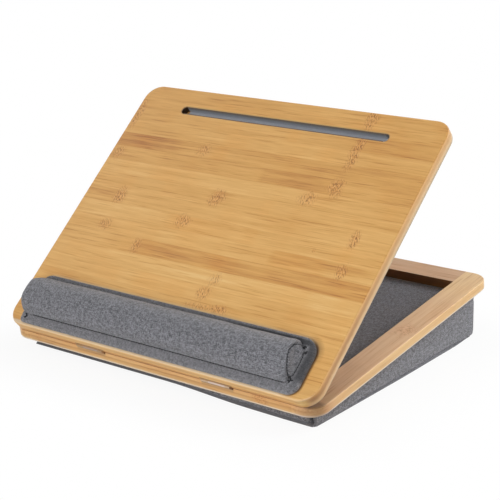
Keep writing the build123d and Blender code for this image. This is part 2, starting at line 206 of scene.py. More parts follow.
class Finish(Nodes):
    """A material made of nodes round one shader."""

    def __init__(self, name, **shader):
        self.material = bpy.data.materials.new(name)
        self.material.use_nodes = True
        super().__init__(self.material.node_tree)
        self.shader = self.tree.nodes["Principled BSDF"]
        for key, value in shader.items():
            self.surface(key.replace("_", " "), value)

    def surface(self, key, value):
        self.put(self.shader.inputs[key], value)

    def made(self, colour, height, depth, strength=0.5):
        """The material, with this colour, and with bumps that deep after a height."""
        self.surface("Base Color", colour)
        self.surface("Normal", self.add("Bump", strength, depth * MM, None, height))
        return self.material

    def spot(self):
        """Coordinates in metres, where the piece is at rest."""
        return self.add("TexCoord", out=3)

    def spot_in(self, place):
        """Coordinates in a piece's own plane, in millimetres."""
        back = place.inverted()
        move, turn = back.to_translation() / MM, tuple(back.to_euler())
        return self.split(self.add("Mapping", self.spot(), move, turn, grey(1 / MM)))

    def facing(self, place):
        """The surface's own direction in a piece's plane, without its bumps."""
        normal = self.add("NewGeometry", out=1)
        turn = tuple(place.inverted().to_euler())
        return self.split(self.add("Mapping", normal, None, turn, vector_type="VECTOR"))


def rgb(red, green, blue):
    """A colour as it shows on the screen, from 0 to 255, as the shader's value."""
    shares = [c / 255 for c in (red, green, blue)]
    return tuple(s / 12.92 if s <= 0.04045 else ((s + 0.055) / 1.055) ** 2.4 for s in shares)


def grey(value):
    return (value,) * 3


def darker(colour, share):
    return tuple(c * share for c in colour)


def shades(*stops, lift=(1, 1, 1)):
    """Ramp stops from (place, red, green, blue) on the screen, times a lift."""
    return [(place, tuple(c * up for c, up in zip(rgb(*colour), lift))) for place, *colour in stops]


def tints(*stops):
    """Ramp stops from (place, red, green, blue) as shares that a colour is multiplied by."""
    return [(place, tuple(shares)) for place, *shares in stops]


HONEY = shades(
    (0.0, 174, 112, 54), (0.3, 206, 148, 78), (0.5, 221, 167, 93),
    (0.72, 234, 184, 111), (1.0, 246, 208, 142),
)
STRAW = shades(
    (0.0, 178, 126, 74), (0.3, 208, 163, 107), (0.5, 222, 181, 125),
    (0.72, 231, 194, 138), (1.0, 242, 212, 162),
)
KNOT_BROWN = rgb(156, 100, 50)
KNOT_HALO = rgb(214, 144, 74)
WARM = (1.0, 0.86, 0.66)
STRIP = 21


def bamboo(name, place, seed, tone, grain="X", knots=(), dress=None, tones=None, patches=(), wood=STRAW):
    """Strips of bamboo that run along the grain, with fibres and node marks.

    seed gives the piece a pattern of its own. tone is the strips' middle tone,
    unless tones gives each strip's own from the front edge on. knots are marks
    as (along, across, half length, half width, strength). patches darken part
    of a strip, as (along from, along to, across from, across to, amount).
    dress colours the edges, with painted light and shade.
    """
    f = Finish(name, IOR=1.45, Coat_Weight=0.16, Coat_Roughness=0.3)
    x, y, up = f.spot_in(place)
    along, across = (x, y) if grain == "X" else (y, x)
    from_edge = across + (INSET if grain == "X" else seed / MM)
    strip = (from_edge / STRIP).floor()
    if tones:
        stops = [(n * STRIP / DESK_DEPTH, grey(t)) for n, t in enumerate(tones)]
        base = (from_edge / DESK_DEPTH).ramp(stops, steps=True)
    else:
        base = f.chance(f.join(strip, seed * 99 + 3.1)).span(0.0, 1.0, tone - 0.07, tone + 0.07)

    def fibres(scale_along, scale_across, detail, rough, slip):
        """Noise drawn out along the grain, shifted from strip to strip."""
        shifted = along * scale_along + strip * slip
        return f.noise(f.join(shifted, across * scale_across, up * scale_across), 1.0, detail, rough)

    fine = fibres(0.048, 0.95, 3.0, 0.65, 0.37)
    streak = fibres(0.015, 0.48, 2.0, 0.6, 1.7)
    broad = fibres(0.007, 0.15, 2.5, 0.55, 2.9)
    slow = f.noise(f.join(along * 0.009, strip * 7.7, seed), rough=0.55)
    warm = f.noise(f.join(along * 0.013, strip * 5.3, seed + 4.0), rough=0.6)
    value = base + (fine - 0.5) * 0.40 + (broad - 0.5) * 0.62 + (slow - 0.5) * 0.36
    value = value - streak.ease(0.46, 0.30) * 0.26
    for start, end, low, high, amount in patches:
        inside = along.ease(start, start + 9) * along.ease(end, end - 30)
        in_row = (from_edge > low) * (from_edge < high)
        value = value - inside * in_row * broad.span(0.25, 0.75, 1.5 * amount, 0.5 * amount)
    seam = abs((from_edge / STRIP).fraction() - 0.5).ease(0.47, 0.5)
    value = value - seam * slow.span(0.35, 0.65) * 0.16
    colour = value.ramp(wood).tinted(warm.ease(0.46, 0.72, 0.42), WARM)
    if knots:
        bend = f.noise(f.join(x, y, up), 0.075, out=1)
        slanted, steep = across - along * 0.3, along + across * 0.3
        dashes = f.noise(f.join(slanted * 0.24, steep * 0.76, up * 0.76), rough=0.6)
        mark = knot_marks(f, along, from_edge, bend, knots)
        colour = colour.mixed(mark * 0.42, KNOT_HALO)
        colour = colour.mixed(mark * dashes.ease(0.45, 0.33) * 0.6, wood[-1][1])
        colour = colour.mixed(mark * dashes.ease(0.50, 0.64) * 1.2, KNOT_BROWN)
    if dress:
        colour = dress(f, colour, (x, y, up), f.facing(place), broad)
    f.surface("Roughness", fine.span(0.2, 0.8, 0.40, 0.54))
    return f.made(colour, fine - seam * 1.5, 0.05, 0.6)


def knot_marks(f, along, from_edge, bend, knots):
    """How strongly a node mark shows at a place; bend makes its outline uneven."""
    bend_along, bend_across, _ = (part - 0.5 for part in f.split(bend))
    marks = []
    for a, b, half_a, half_b, strength in knots:
        off_along = (along - a) / half_a + bend_along
        off_across = (from_edge - b) / half_b + bend_across
        away = f.length(f.join(off_along, off_across))
        marks.append(away.ease(1.15, 0.25, strength))
    return reduce(Value.at_least, marks)


def corner_turn(f, x, y):
    """Where a place lies round the front right corner, from 0 by the right side to 1 in front."""
    ahead = (y - (CORNER - INSET)) * -1.0
    aside = x - (DESK_WIDTH / 2 - CORNER)
    return f.math("ARCTAN2", ahead, aside).span(-math.pi / 4, 3 * math.pi / 4)


def upright(to_top):
    """1 on faces that point neither up nor down."""
    return to_top.span(0.8, 0.6) * to_top.span(-0.8, -0.6)


def outside_pad(f, x, y):
    """How far a place on the lid is outside the wrist pad."""
    from_mid = y - PAD_MID_Y
    rear_right = (x > 0.0) * (from_mid > 0.0)
    corner = rear_right.span(0.0, 1.0, PAD_CORNER, PAD_REAR_RIGHT)
    past_x = (abs(x) + corner - PAD_LENGTH / 2).at_least(0.0)
    past_y = (abs(from_mid) + corner - PAD_DEPTH / 2).at_least(0.0)
    return f.length(f.join(past_x, past_y)) - corner


def pad_shades(f, colour, x, y, to_top):
    """Painted shade beside the wrist pad, a dark contact line and a soft shadow, and a painted pale highlight
    behind it.
    """
    on_top = to_top.span(0.5, 0.8)
    outside = outside_pad(f, x, y)
    # Painted contact shadow: a dark line where the pad meets the lid.
    line = outside.ease(3.4, 0.6) * x.span(180, 200)
    colour = colour.mixed(line * on_top * 0.85, rgb(84, 56, 34))
    shadow = outside.span(9, 1) * y.span(40, 62) * x.span(184, 198)
    colour = colour.tinted(shadow * on_top, (0.42, 0.40, 0.38))
    # Painted highlight: a pale line on the wood behind the pad.
    behind = y.span(PAD_MID_Y + 20, PAD_MID_Y + 30) * x.span(196, 180)
    behind = outside.ease(5.5, 0.3) * behind
    return colour.mixed(behind * on_top * 0.45, rgb(255, 232, 190))


def groove_shades(f, colour, spot, to_top):
    """The groove's bare end walls past its liner, with painted deep shade on the left end and grey on the
    right, and its grey rim.
    """
    x, y, up = spot
    half_length, half_width, rim_start = 156, 6.2, 148.3
    in_groove = x.between(-half_length, half_length) * y.between(GROOVE_Y - half_width, GROOVE_Y + half_width)
    bare = in_groove * up.between(3.6, 13.4, 0.5) * to_top.span(0.7, 0.5)
    # Painted deep shade on the bare left end wall; the right end is grey like the liner.
    colour = colour.mixed(bare, f.mix(x > 0.0, rgb(40, 25, 10), rgb(108, 108, 110)))
    past_end = (abs(x) - rim_start).at_least(0.0)
    from_groove = f.length(f.join(past_end, y - GROOVE_Y))
    rim = from_groove.span(7.2, 6.0) * up.span(12, 13)
    return colour.mixed(rim * 0.4, rgb(118, 108, 98))


def lid_edges(f, colour, spot, way, broad):
    """The lid's layered edges with their pale and dark roundings, which are painted highlight and painted
    shade, and the painted shades and highlight on its top.
    """
    x, y, up = spot
    to_right, to_rear, to_top = way
    height = (up + (broad - 0.5) * 3).span(0.0, LID_TOP)
    front = to_rear.span(-0.35, -0.7)
    # The front face's plies, with a painted lift that brightens the face.
    colour = colour.tinted(front, height.ramp(LID_FRONT_PLIES_AND_LIGHT))
    # Painted highlight on the strip of top in front of the pad.
    front_strip_highlight = y.span(6, 4) * to_top.span(0.55, 0.9) * x.span(200, 180)
    colour = colour.mixed(front_strip_highlight * 0.6, rgb(227, 215, 191))
    # Painted highlight on the front top rounding.
    front_round_highlight = to_rear.span(-0.12, -0.5) * to_top.span(0.05, 0.35)
    colour = colour.mixed(front_round_highlight * 0.35, rgb(248, 216, 172))
    # Painted shade on the right top rounding.
    right_round_shade = to_right.span(0.05, 0.35) * to_top.span(0.2, 0.5)
    colour = colour.tinted(right_round_shade, (0.80, 0.78, 0.76))
    # The right side's bands hold a painted highlight and painted shade, changing towards the rear.
    side = height.ramp(LID_SIDE_NEAR_PAINTED_LIGHT).mixed(y.span(90, 240), height.ramp(LID_SIDE_FAR_PAINTED_LIGHT))
    colour = colour.mixed(to_right.span(0.45, 0.75), side)
    # Painted shade round the front right corner.
    turn = corner_turn(f, x, y)
    colour = colour.tinted(upright(to_top), turn.ramp(LID_CORNER_SHADE))
    # Painted shade in the gap over the rail at the corner.
    gap_shade_by_rail = up.span(1.6, 0.9) * turn.span(0.30, 0.40) * turn.span(0.68, 0.58)
    colour = colour.tinted(gap_shade_by_rail, (0.60, 0.55, 0.48))
    # Painted sheen: paler and bluer on the top by the front right corner.
    top_corner_sheen = to_top.span(0.7, 0.9) * x.span(192, 204) * y.span(24, 12)
    colour = colour.tinted(top_corner_sheen, (1.06, 1.18, 1.42))
    colour = pad_shades(f, colour, x, y, to_top)
    colour = groove_shades(f, colour, spot, to_top)
    # Painted shadow in a line over each hinge barrel, darker on the left.
    shade_over_barrel = front * up.between(4.0, 5.5, 0.4)
    for centre, gap in ((-HINGE_CENTRE, rgb(44, 36, 28)), (HINGE_CENTRE, rgb(80, 62, 42))):
        over = x.between(centre - HINGE_REACH, centre + HINGE_REACH) * shade_over_barrel
        colour = colour.mixed(over * 0.9, gap)
    return colour


def rail_look(pink, shade=None):
    """Edges of a tray rail: a pink top with painted sheen and shade, a banded front with painted light, and
    painted shade on its inner faces, round the front right corner, under the lid and below the hinges.
    """

    def dress(f, colour, spot, way, broad):
        x, y, up = spot
        _, to_rear, to_top = way
        drift = f.noise(f.join(x * 0.014, y * 0.014))
        along = (y + (drift - 0.5) * 120.0).span(0.0, DESK_DEPTH)
        # The top's tint is painted sheen and shade, darker to the front under the lid.
        colour = colour.tinted(to_top.span(0.55, 0.85), along.ramp(pink))
        # The front face's plies, with a painted lift that brightens it.
        front = to_rear.span(-0.35, -0.7) * y.span(5, 2)
        height = (up + (broad - 0.5) * 2.5).span(RAIL_BOTTOM, RAIL_TOP)
        colour = colour.tinted(front, height.ramp(RAIL_FRONT_PLIES_AND_LIGHT))
        # Painted highlight on the low rounding, as from light thrown up off the floor.
        low_edge_highlight = up.span(-8.8, -10.4) * to_top.span(0.2, -0.1)
        low_edge_light = f.mix(up.span(-10.4, -12), rgb(240, 226, 206), rgb(204, 170, 124))
        colour = colour.mixed(low_edge_highlight * 0.9, low_edge_light)
        # Painted shade round the front right corner.
        turn = corner_turn(f, x, y)
        colour = colour.tinted(upright(to_top), turn.ramp(RAIL_CORNER_SHADE))
        # Painted shade under the lid's corner.
        shade_under_lid = up.span(-1.9, -1.0) * turn.span(0.28, 0.38) * turn.span(0.70, 0.60)
        colour = colour.tinted(shade_under_lid, (0.45, 0.40, 0.32))
        # Painted shadow below each hinge barrel.
        shadow_below_hinge = abs(abs(x) - HINGE_CENTRE).span(HINGE_REACH + 0.5, HINGE_REACH - 1.5)
        colour = colour.tinted(front * shadow_below_hinge * up.span(-6.5, -3.0), (0.72, 0.76, 0.88))
        if shade:
            inside = x.between(-193, 193) * y.between(30, 341)
            colour = colour.tinted(inside * to_top.span(0.6, 0.3), shade)
        return colour

    return dress


def cloth(name, dark, light, pitch, soft=0.2):
    """Plain weave with yarns that differ in tone, from the piece's weave and seam attributes; the seam
    attribute darkens seams and places of painted shade.
    """
    f = Finish(name, Roughness=0.95, Specular_IOR_Level=0.25, Sheen_Weight=0.25, Sheen_Roughness=0.6)
    spot = f.add("Attribute", attribute_name="weave", out=1)
    seam = f.add("Attribute", attribute_name="seam", out=2)
    wobble = f.vector("SUBTRACT", f.noise(spot, 0.06, out=1), grey(0.5))
    spot = f.vector("ADD", spot, f.vector("MULTIPLY", wobble, grey(1.6 * pitch)))
    u, v, _ = (part / pitch for part in f.split(spot))
    row_u, row_v = u.floor(), v.floor()
    slub_u = (v * 0.28 + row_u * 3.37).floor()
    slub_v = (u * 0.28 + row_v * 5.91).floor()
    warp = f.chance(f.join(row_u, slub_u, 1.3))
    weft = f.chance(f.join(row_v, slub_v, 7.9))
    yarn = f.mix(f.math("MODULO", abs(row_u + row_v), 2.0), warp, weft)
    cloud = f.noise(spot, 0.68)
    mottle = f.noise(spot, 0.26)
    tone = yarn.mixed(soft, grey(0.5)) + (cloud - 0.5) * (2.5 - soft) + (mottle - 0.5) * (1.5 - soft)
    hump = (u.fraction() * math.pi).sine() * (v.fraction() * math.pi).sine()
    # Painted shade in the hollows between the yarns.
    colour = f.mix(tone, dark, light).mixed(hump.span(0.0, 0.6, 0.35, 0.0), grey(0.03))
    return f.made(colour.mixed(seam * 0.87, SEAM_AND_SHADE_BLACK), cloud * 0.4 + hump, 0.2, 0.7)


def thread(name, colour):
    f = Finish(name, Roughness=0.85)
    twist = f.noise(f.spot(), 2600.0)
    return f.made(f.mix(twist, colour, grey(0.004)), twist, 0.1, 0.6)


def scratches(f):
    """Fine scratches along x."""
    return f.noise(f.vector("MULTIPLY", f.spot(), (60.0, 2200.0, 2200.0)), rough=0.6)


def steel(name, colour, rough):
    f = Finish(name, Metallic=1.0)
    brushed = scratches(f)
    f.surface("Roughness", brushed.span(0.2, 0.8, rough, rough + 0.16))
    return f.made(f.mix(brushed, colour, darker(colour, 0.78)), brushed, 0.03)


def hinge_metal():
    """Steel that is bright on the right middle knuckle, a painted highlight, and dark at each right end and
    on the barrel's top, painted shadow.
    """
    f = Finish("hinge_steel")
    brushed = scratches(f)
    x, back, up = f.spot_in(LID)
    right = x > 0.0
    # Painted highlight on the right hinge's middle knuckle; the left hinge is painted duller.
    outer = f.mix(right, rgb(190, 158, 122), rgb(214, 186, 156))
    inner = f.mix(right, rgb(190, 165, 146), rgb(230, 208, 193))
    colour = outer.mixed(abs(abs(x) - HINGE_CENTRE).span(11.7, 11.2), inner)
    past_centre = x - x.sign() * HINGE_CENTRE
    # Painted shadow at each barrel's right end, matte where it falls.
    shadowed = past_centre.span(17.2, 18.2)
    colour = colour.mixed(shadowed, f.mix(right, rgb(160, 114, 70), rgb(120, 80, 44)))
    # Painted shade on the top of the barrel.
    barrel_top_shade = back * 0.85 + up * 0.53
    colour = colour.tinted(barrel_top_shade.span(-0.3, 0.8), (0.42, 0.38, 0.33))
    f.surface("Metallic", shadowed * -1.0 + 1.0)
    f.surface("Roughness", brushed.span(0.2, 0.8, 0.26, 0.42).at_least(shadowed * 0.85))
    return f.made(colour.mixed(brushed * 0.3, grey(0.05)), brushed, 0.03)


def moulded(name, colour, rough, clear=0.0):
    f = Finish(name, Roughness=rough, Transmission_Weight=clear)
    grain = f.noise(f.spot(), 1800.0, 3.0, 0.6)
    return f.made(f.mix(grain.span(0.3, 0.7, 0.0, 0.35), colour, darker(colour, 0.7)), grain, 0.06)


def foam(name, wall, floor):
    """Foam in the groove, with painted shade: its walls are darkest at the top, its floor at the rear."""
    f = Finish(name, Roughness=0.97)
    cells = f.add("TexVoronoi", f.spot(), None, 1500.0)
    tone = (cells + f.noise(f.spot(), 300.0)) * 0.5
    _, y, up = f.spot_in(LID)
    side = up.span(13.8, 5.8).ramp(wall)
    ground = y.span(GROOVE_Y + 4.5, GROOVE_Y - 4.5).ramp(floor)
    base = side.mixed(up.span(6.4, 6.0), ground)
    return f.made(base.mixed(0.2, grey(0.0)).mixed(tone.span(0.2, 0.8), base), cells, 0.12)


# Layers run from the bottom of an edge to its top. The front layers are plies with a painted lift that
# brightens the front faces.
LID_FRONT_PLIES_AND_LIGHT = shades(
    (0.0, 214, 184, 151), (0.30, 229, 210, 182), (0.42, 247, 241, 227),
    (0.55, 243, 239, 227), (0.72, 237, 230, 214), (0.9, 237, 225, 202),
    lift=(1.22, 1.42, 1.70),
)
RAIL_FRONT_PLIES_AND_LIGHT = shades(
    (0.0, 224, 210, 191), (0.28, 238, 237, 235), (0.42, 231, 220, 211),
    (0.62, 213, 194, 175), (0.76, 241, 232, 224), (1.0, 235, 221, 215),
    lift=(1.22, 1.26, 1.24),
)
# The lid's right side by height, near the front and further back; its bands are painted highlight and painted
# shade.
LID_SIDE_NEAR_PAINTED_LIGHT = shades(
    (0.0, 190, 163, 126), (0.17, 216, 185, 145), (0.29, 218, 181, 137), (0.41, 202, 162, 112),
    (0.52, 182, 138, 86), (0.64, 178, 130, 78), (0.76, 184, 136, 82), (1.0, 205, 158, 100),
)
LID_SIDE_FAR_PAINTED_LIGHT = shades(
    (0.0, 170, 148, 116), (0.17, 190, 167, 132), (0.29, 208, 177, 136), (0.41, 220, 184, 137),
    (0.52, 213, 172, 122), (0.64, 205, 162, 108), (0.76, 204, 158, 102), (1.0, 208, 160, 102),
)
# Painted shade runs round the front right corner, from its right side to its front.
LID_CORNER_SHADE = tints(
    (0.0, 1.0, 1.0, 1.0), (0.20, 0.92, 0.87, 0.78), (0.375, 0.86, 0.80, 0.68),
    (0.45, 0.70, 0.64, 0.54), (0.525, 0.70, 0.68, 0.66), (0.60, 0.72, 0.78, 0.84),
    (0.70, 0.85, 0.94, 1.04), (0.85, 0.95, 0.98, 1.0), (0.95, 1.0, 1.0, 1.0),
)
RAIL_CORNER_SHADE = tints(
    (0.0, 1.0, 1.0, 1.0), (0.15, 0.88, 0.82, 0.84), (0.30, 0.72, 0.62, 0.62),
    (0.40, 0.50, 0.45, 0.42), (0.50, 0.46, 0.40, 0.36), (0.60, 0.58, 0.56, 0.60),
    (0.70, 0.68, 0.66, 0.74), (0.80, 0.82, 0.80, 0.90), (0.95, 1.0, 1.0, 1.0),
)
# Painted sheen and shade on the rails' tops, which turn paler and pinker from front to rear.
PINK_TOP_SHEEN_AND_SHADE = tints(
    (0.03, 0.62, 0.60, 0.70), (0.09, 0.71, 0.72, 0.84), (0.15, 0.78, 0.78, 1.00),
    (0.28, 0.98, 0.99, 1.27), (0.75, 1.06, 1.08, 1.30), (0.92, 1.17, 1.26, 1.48),
)
# The rear rail's top: painted sheen and shade, even along it.
REAR_PINK_SHEEN_AND_SHADE = tints((0.0, 0.94, 0.92, 1.18), (1.0, 0.94, 0.92, 1.18))
INNER_SHADE = (0.23, 0.16, 0.09)
# Near black for the cloth's seams and its painted shade.
SEAM_AND_SHADE_BLACK = (0.010, 0.011, 0.015)
LID_TONES = [
    0.50, 0.52, 0.58, 0.62, 0.66, 0.70, 0.57, 0.64, 0.62,
    0.63, 0.60, 0.65, 0.51, 0.49, 0.58, 0.52, 0.56, 0.54,
]
LID_KNOTS = [
    (121, 362, 10, 22, 0.80), (121, 315, 9, 30, 1.00), (-85, 284, 12, 14, 0.75),
    (121, 263, 13, 15, 1.00), (92, 242, 15, 13, 0.75), (-29, 221, 14, 14, 0.85),
    (-169, 200, 12, 14, 0.85), (176, 199, 8, 14, 1.00), (-57, 182, 13, 12, 0.90),
    (135, 177, 3, 3, 0.90), (-165, 157, 14, 12, 0.65), (181, 157, 9, 14, 0.95),
    (-103, 137, 10, 14, 0.70), (31, 115, 10, 13, 0.55), (25, 95, 11, 12, 0.80),
    (56, 79, 17, 7, 1.00), (30, 78, 30, 5, 0.55), (-218, 325, 7, 32, 0.80),
    (-212, 262, 11, 13, 0.60),
]
LID_PATCHES = [
    (-105, 290, 126, 147, 0.17), (-230, -150, 189, 210, 0.16), (-230, -110, 273, 294, 0.16),
    (10, 130, 252, 273, 0.10), (80, 230, 147, 168, 0.12),
]
FRONT_KNOTS = [(150, 10, 12, 30, 0.6), (-180, 10, 6, 30, 0.4)]
REAR_KNOTS = [(-90, 355, 10, 14, 0.7)]
RIGHT_KNOTS = [(200, 208.5, 19, 16, 0.62)]
LEFT_KNOTS = [(120, -208.5, 12, 12, 0.5)]
# Painted shade in the groove's foam, dark at the walls' top and the floor's rear.
FOAM_WALL_SHADE = shades((0.0, 110, 101, 90), (0.25, 126, 125, 126), (0.6, 150, 153, 160), (1.0, 172, 174, 180))
FOAM_FLOOR_SHADE = shades((0.0, 178, 182, 190), (1.0, 228, 230, 238))

outer_rail = rail_look(PINK_TOP_SHEEN_AND_SHADE)
left_rail = rail_look(PINK_TOP_SHEEN_AND_SHADE, INNER_SHADE)
rear_rail = rail_look(REAR_PINK_SHEEN_AND_SHADE, INNER_SHADE)
heather = cloth("heather_cloth", rgb(80, 81, 85), rgb(157, 157, 164), 0.95)
border_cloth = cloth("border_cloth", rgb(100, 100, 104), rgb(160, 159, 164), 0.8, soft=0.35)
lining_cloth = cloth("lining_cloth", rgb(60, 62, 69), rgb(129, 131, 142), 0.8)
dark_thread = thread("dark_thread", rgb(40, 41, 46))
lid_wood = bamboo("bamboo_lid", LID, 0.0, None, "X", LID_KNOTS, lid_edges, LID_TONES, LID_PATCHES, HONEY)
hinge_steel = hinge_metal()
screw_steel = steel("screw_steel", rgb(190, 187, 183), 0.3)
black_plastic = moulded("moulded_black", rgb(38, 38, 40), 0.5)

NODE_FINISH = {
    "lid_panel": lid_wood,
    "front_rail": bamboo("bamboo_front", TRAY, 0.013, 0.52, "X", FRONT_KNOTS, outer_rail),
    "rear_rail": bamboo("bamboo_rear", TRAY, 0.027, 0.50, "X", REAR_KNOTS, rear_rail),
    "right_rail": bamboo("bamboo_right", TRAY, 0.0, 0.54, "Y", RIGHT_KNOTS, outer_rail),
    "left_rail": bamboo("bamboo_left", TRAY, 0.041, 0.52, "Y", LEFT_KNOTS, left_rail),
    "floor_board": bamboo("plywood", TRAY, 0.061, 0.80),
    "rail_dowels": bamboo("dowel_wood", TRAY, 0.083, 0.66),
    "groove_liner": foam("grey_foam", FOAM_WALL_SHADE, FOAM_FLOOR_SHADE),
    "bumper_dots": moulded("clear_rubber", rgb(226, 226, 222), 0.35, clear=0.6),
    **dict.fromkeys(("left_rack", "right_rack", "left_prop_block", "right_prop_block"), black_plastic),
    "prop_wire": steel("wire_steel", rgb(178, 178, 180), 0.28),
}
for name, node in frame["nodes"].items():
    metal = screw_steel if "screws" in name or "hinge" not in name else hinge_steel
    finish = NODE_FINISH.get(name, metal)
    if not node.material_slots:
        node.data.materials.append(finish)
    for place in node.material_slots:
        place.material = finish

# ---- Forms ----


def piece(name, form, finish, body, place):
    """A mesh piece that rides on a body; form is its points, in the given plane, and faces."""
    points, faces = form
    mesh = bpy.data.meshes.new(name)
    mesh.from_pydata([tuple(p) for p in points], [], faces)
    mesh.transform(place @ Matrix.Scale(MM, 4))
    mesh.polygons.foreach_set("use_smooth", [True] * len(mesh.polygons))
    mesh.materials.append(finish)
    thing = bpy.data.objects.new(name, mesh)
    scene.collection.objects.link(thing)
    work = bmesh.new()
    work.from_mesh(mesh)
    bmesh.ops.recalc_face_normals(work, faces=work.faces)
    work.to_mesh(mesh)
    work.free()
    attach(thing, body)
    return thing


def joined(forms):
    """Several forms as one."""
    points, faces = [], []
    for more_points, more_faces in forms:
        faces += [tuple(i + len(points) for i in face) for face in more_faces]
        points += more_points
    return points, faces


def loft(rings):
    """A closed form through rings that have the same number of points."""
    count = len(rings[0])
    points = [p for ring in rings for p in ring]
    faces = [tuple(range(count))[::-1], tuple(range(len(points) - count, len(points)))]
    for a in range(0, len(points) - count, count):
        for n in range(count):
            m = (n + 1) % count
            faces.append((a + n, a + m, a + count + m, a + count + n))
    return points, faces


def rounded_outline(half_x, half_y, radii, per_corner=10, along=8):
    """Points round a rounded rectangle, anticlockwise from the rear right, as (x, y)."""
    arcs = []
    for n, radius in enumerate(radii):
        side_x, side_y = ((1, 1), (-1, 1), (-1, -1), (1, -1))[n]
        middle = np.array((side_x * (half_x - radius), side_y * (half_y - radius)))
        turns = np.radians(90 * n + 90 * np.arange(per_corner + 1) / per_corner)
        arcs.append(middle + radius * np.stack([np.cos(turns), np.sin(turns)], 1))
    outline = []
    shares = np.arange(1, along)[:, None] / along
    for arc, following in zip(arcs, arcs[1:] + arcs[:1]):
        outline += [*arc, *(arc[-1] + (following[0] - arc[-1]) * shares)]
    return outline


def vectors_of(mesh, key="co"):
    """Each vertex's place in metres, or another vector that it holds."""
    flat = np.zeros(len(mesh.vertices) * 3)
    mesh.vertices.foreach_get(key, flat)
    return flat.reshape(-1, 3)


def moved(points, place):
    """Points carried by a placement."""
    matrix = np.array(place)
    return points @ matrix[:3, :3].T + matrix[:3, 3]


def points_in(place, thing):
    """A piece's points in a plane."""
    return moved(vectors_of(thing.data), place.inverted()) / MM


def set_points(place, thing, points):
    """Moves a piece's points to these, which are in a plane."""
    thing.data.vertices.foreach_set("co", moved(points * MM, place).astype(np.float32).ravel())
    thing.data.update()


def set_attribute(thing, name, values):
    kind, key = ("FLOAT", "value") if np.ndim(values) == 1 else ("FLOAT_VECTOR", "vector")
    attribute = thing.data.attributes.new(name, kind, "POINT")
    attribute.data.foreach_set(key, np.asarray(values, np.float32).ravel())


def modify(thing, kind, **settings):
    """Adds a modifier with these settings and applies it."""
    modifier = thing.modifiers.new(kind, kind)
    for key, value in settings.items():
        setattr(modifier, key, value)
    graph = bpy.context.evaluated_depsgraph_get()
    result = bpy.data.meshes.new_from_object(thing.evaluated_get(graph))
    thing.modifiers.clear()
    thing.data = result


# How stiff a cushion's cover is, and how hard the air in it presses.
CLOTH = {
    "quality": 6, "mass": 0.3, "bending_stiffness": 0.4, "shear_stiffness": 6,
    "tension_stiffness": 12, "compression_stiffness": 12,
    "use_pressure": True, "uniform_pressure_force": 4.0, "vertex_group_mass": "held",
}


def swell(thing, held, cap):
    """Fills a closed form with air as cloth; held is each point's hold, 0 to 1, cap its most move."""
    start = vectors_of(thing.data)
    group = thing.vertex_groups.new(name="held")
    for n, weight in enumerate(held):
        if weight > 0:
            group.add([n], float(weight), "REPLACE")
    modifier = thing.modifiers.new("cloth", "CLOTH")
    for key, value in CLOTH.items():
        setattr(modifier.settings, key, value)
    modifier.settings.effector_weights.gravity = 0
    modifier.collision_settings.use_collision = False
    scene.frame_start, scene.frame_end = 1, 20
    for step in range(scene.frame_start, scene.frame_end + 1):
        scene.frame_set(step)
    graph = bpy.context.evaluated_depsgraph_get()
    move = vectors_of(thing.evaluated_get(graph).data) - start
    thing.modifiers.clear()
    thing.vertex_groups.clear()
    scene.frame_set(1)
    length = np.maximum(np.linalg.norm(move, axis=1, keepdims=True), 1e-9)
    limit = cap.reshape(-1, 1) * MM
    set_points(WORLD, thing, (start + move * limit * np.tanh(length / limit) / length) / MM)


def waves(points, length, seed):
    """Smooth bumps from -1 to 1 with about that wavelength."""
    total = np.zeros(len(points))
    for k in range(6):
        turn = seed * 1.7 + k * 2.399
        way = np.array([math.cos(turn), math.sin(turn), math.sin(seed + k * 1.3)])
        way = way / np.linalg.norm(way) * (2 * math.pi / length) * (0.7 + 0.13 * k)
        total += np.sin(points @ way + seed * 3.1 + k * 1.9)
    return total / 3.5


def fade(value, low, high):
    """0 at low and 1 at high, smoothly; low may be the larger."""
    share = np.clip((value - low) / (high - low), 0, 1)
    return share * share * (3 - 2 * share)


def times(normals, lengths):
    """Directions, each drawn out to its own length."""
    return normals * lengths[:, None]


def tube(path, radius, sides=6):
    """A round thread along a path of points."""
    path = [Vector(p) for p in path]
    rings = []
    for n, point in enumerate(path):
        ahead = path[min(n + 1, len(path) - 1)] - path[max(n - 1, 0)]
        ahead.normalize()
        side = ahead.cross(Vector((0, 0, 1)))
        if side.length < 0.1:
            side = ahead.cross(Vector((0, 1, 0)))
        side.normalize()
        other = side.cross(ahead)
        reach = radius * (0.35 if n in (0, len(path) - 1) else 1.0)
        turns = [2 * math.pi * k / sides for k in range(sides)]
        rings.append([point + (side * math.cos(turn) + other * math.sin(turn)) * reach for turn in turns])
    return loft(rings)


def stitches(path, length, gap, radius, sink):
    """Short threads along a path of (point, way out)."""
    points, outs = (np.array(part) for part in zip(*path))
    steps = np.r_[0, np.cumsum(np.linalg.norm(np.diff(points, axis=0), axis=1))]
    threads = []
    start = gap
    while start + length < steps[-1]:
        run = []
        for share in (0.0, 0.18, 0.5, 0.82, 1.0):
            at = start + length * share
            centre, out = ([np.interp(at, steps, part[:, c]) for c in range(3)] for part in (points, outs))
            lift = radius * 0.9 * math.sin(math.pi * share) - sink
            run.append(Vector(centre) + Vector(out).normalized() * lift)
        threads.append(tube(run, radius))
        start += length + gap
    return threads


# ---- Wedge cushion ----

# WEDGE_X and WEDGE_Y are half its width and depth.
WEDGE_X = 208
WEDGE_FRONT = AXIS_Y + 18.4
WEDGE_REAR = AXIS_Y + 361.9
WEDGE_CORNER = 4
WEDGE_Y = (WEDGE_REAR - WEDGE_FRONT) / 2
WEDGE_MID = (WEDGE_REAR + WEDGE_FRONT) / 2
WEDGE_SPANS = ((0, 0.0, WEDGE_X), (1, WEDGE_MID, WEDGE_Y))
SHRINK = 0.2
TILT = math.radians(TRAY_TILT)


